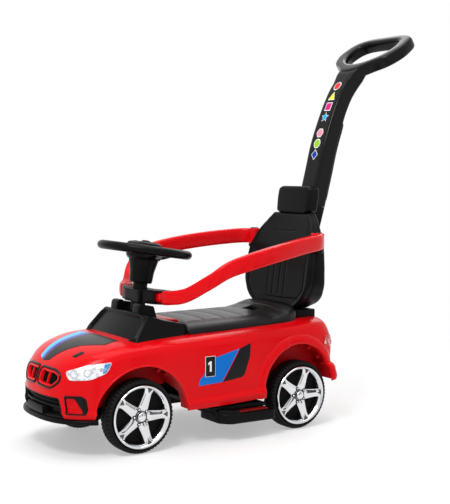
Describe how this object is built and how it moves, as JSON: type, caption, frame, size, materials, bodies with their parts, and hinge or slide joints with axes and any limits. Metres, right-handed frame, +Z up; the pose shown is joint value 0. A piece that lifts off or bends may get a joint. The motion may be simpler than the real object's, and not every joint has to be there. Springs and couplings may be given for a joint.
{
  "type": "foot-to-floor ride-on car",
  "caption": "Child's foot-to-floor ride-on car with steered front wheels, swing-out guard rails, a backrest, a lift-up seat over a storage tub and a push handle.",
  "frame": {"origin": "on the ground, under the middle of the whole car with its push handle", "axes": "+X to the car's left, +Y to its rear, +Z up"},
  "size_m": [0.4038, 0.9118, 0.8766],
  "materials": {
    "red_plastic": "glossy blow-moulded red",
    "black_plastic": "satin black",
    "seat_plastic": "fine-grained black",
    "tyre_plastic": "hard black tyre, notched",
    "chrome_plating": "bright plated plastic",
    "lamp": "silvered lamp sticker under gloss",
    "tail_lamp": "red lamp sticker under gloss",
    "steel": "bare rod"
  },
  "bodies": {
    "body": {"body_shell": "red_plastic", "chassis_tray": "black_plastic", "storage_tub": "black_plastic", "intake_insert": "black_plastic", "grille_left": "black_plastic", "grille_right": "black_plastic", "grille_ring_left": "red_plastic", "grille_ring_right": "red_plastic", "corner_vent_left": "black_plastic", "corner_vent_right": "black_plastic", "vent_insert_left": "red_plastic", "vent_insert_right": "red_plastic", "headlight_left": "lamp", "headlight_right": "lamp", "tail_light_left": "tail_lamp", "tail_light_right": "tail_lamp", "windshield_cowl": "black_plastic", "deck_panel": "red_plastic", "seat_hinge_pin": "steel", "column_sleeve": "black_plastic", "rail_bracket": "black_plastic", "backrest_front": "black_plastic", "backrest_shell": "black_plastic", "headrest": "black_plastic", "backrest_plinth": "black_plastic", "rail_pin_left": "black_plastic", "rail_pin_right": "black_plastic", "rear_axle": "steel", "front_axle_beam": "black_plastic"},
    "steering": {"steering_wheel": "black_plastic", "steering_cone": "black_plastic", "horn_pad": "black_plastic", "steering_shaft": "steel"},
    "horn": {"horn_button": "red_plastic"},
    "tie_rod": {"tie_rod": "steel"},
    "knuckle_left": {"knuckle_left": "steel"},
    "knuckle_right": {"knuckle_right": "steel"},
    "seat": {"seat_lid": "seat_plastic"},
    "guard_left": {"guard_rail_left": "red_plastic"},
    "guard_right": {"guard_rail_right": "red_plastic"},
    "footrest_left": {"footrest_left": "black_plastic", "footrest_tread_left": "red_plastic"},
    "footrest_right": {"footrest_right": "black_plastic", "footrest_tread_right": "red_plastic"},
    "push_handle": {"push_handle": "black_plastic"},
    "handle_button": {"handle_button": "black_plastic"},
    "wheel_front_left": {"tyre_front_left": "tyre_plastic", "wheel_body_front_left": "black_plastic", "wheel_cover_front_left": "chrome_plating"},
    "wheel_front_right": {"tyre_front_right": "tyre_plastic", "wheel_body_front_right": "black_plastic", "wheel_cover_front_right": "chrome_plating"},
    "wheel_rear_left": {"tyre_rear_left": "tyre_plastic", "wheel_body_rear_left": "black_plastic", "wheel_cover_rear_left": "chrome_plating"},
    "wheel_rear_right": {"tyre_rear_right": "tyre_plastic", "wheel_body_rear_right": "black_plastic", "wheel_cover_rear_right": "chrome_plating"}
  },
  "joints": [
    {"name": "steering_turn", "type": "hinge", "parent": "body", "child": "steering", "pos_m": [0, -0.20604, 0.383], "axis": [0, 0.1478, 0.989], "range_deg": [-25, 25]},
    {"name": "horn_press", "type": "slide", "parent": "steering", "child": "horn", "axis": [0, -0.1478, -0.989], "range_m": [0, 0.003], "stiffness_N_per_m": 250, "springref_m": -0.002},
    {"name": "tie_rod_slide", "type": "slide", "parent": "body", "child": "tie_rod", "axis": [1, 0, 0], "range_m": [-0.0106, 0.0106]},
    {"name": "knuckle_left_turn", "type": "hinge", "parent": "body", "child": "knuckle_left", "pos_m": [0.085, -0.29204, 0.07204], "axis": [0, 0, 1], "range_deg": [-20.5, 20.5]},
    {"name": "knuckle_right_turn", "type": "hinge", "parent": "body", "child": "knuckle_right", "pos_m": [-0.085, -0.29204, 0.07204], "axis": [0, 0, 1], "range_deg": [-20.5, 20.5]},
    {"name": "wheel_front_left_roll", "type": "hinge", "parent": "knuckle_left", "child": "wheel_front_left", "pos_m": [0.1225, -0.29204, 0.07204], "axis": [1, 0, 0], "continuous": true},
    {"name": "wheel_front_right_roll", "type": "hinge", "parent": "knuckle_right", "child": "wheel_front_right", "pos_m": [-0.1225, -0.29204, 0.07204], "axis": [1, 0, 0], "continuous": true},
    {"name": "wheel_rear_left_roll", "type": "hinge", "parent": "body", "child": "wheel_rear_left", "pos_m": [0.1225, 0.09496, 0.07204], "axis": [1, 0, 0], "continuous": true},
    {"name": "wheel_rear_right_roll", "type": "hinge", "parent": "body", "child": "wheel_rear_right", "pos_m": [-0.1225, 0.09496, 0.07204], "axis": [1, 0, 0], "continuous": true},
    {"name": "guard_left_swing", "type": "hinge", "parent": "body", "child": "guard_left", "pos_m": [0.1158, 0.15656, 0.39], "axis": [0, 0, 1], "range_deg": [0, 90]},
    {"name": "guard_right_swing", "type": "hinge", "parent": "body", "child": "guard_right", "pos_m": [-0.1158, 0.15656, 0.39], "axis": [0, 0, -1], "range_deg": [0, 90]},
    {"name": "seat_lift", "type": "hinge", "parent": "body", "child": "seat", "pos_m": [0, -0.15804, 0.2315], "axis": [1, 0, 0], "range_deg": [0, 50]},
    {"name": "footrest_left_slide", "type": "slide", "parent": "body", "child": "footrest_left", "axis": [-1, 0, 0], "range_m": [0, 0.042]},
    {"name": "footrest_right_slide", "type": "slide", "parent": "body", "child": "footrest_right", "axis": [1, 0, 0], "range_m": [0, 0.042]},
    {"name": "handle_lift", "type": "slide", "parent": "body", "child": "push_handle", "axis": [0, 0.2334, 0.9724], "range_m": [0, 0.048]},
    {"name": "handle_button_press", "type": "slide", "parent": "push_handle", "child": "handle_button", "axis": [0, -0.9724, 0.2334], "range_m": [0, 0.003], "stiffness_N_per_m": 400, "springref_m": -0.002}
  ],
  "couplings": [
    {"joint": "tie_rod_slide", "follows": "steering_turn", "m_per_rad": -0.024},
    {"joint": "knuckle_left_turn", "follows": "steering_turn", "ratio": 0.8},
    {"joint": "knuckle_right_turn", "follows": "steering_turn", "ratio": 0.8}
  ]
}
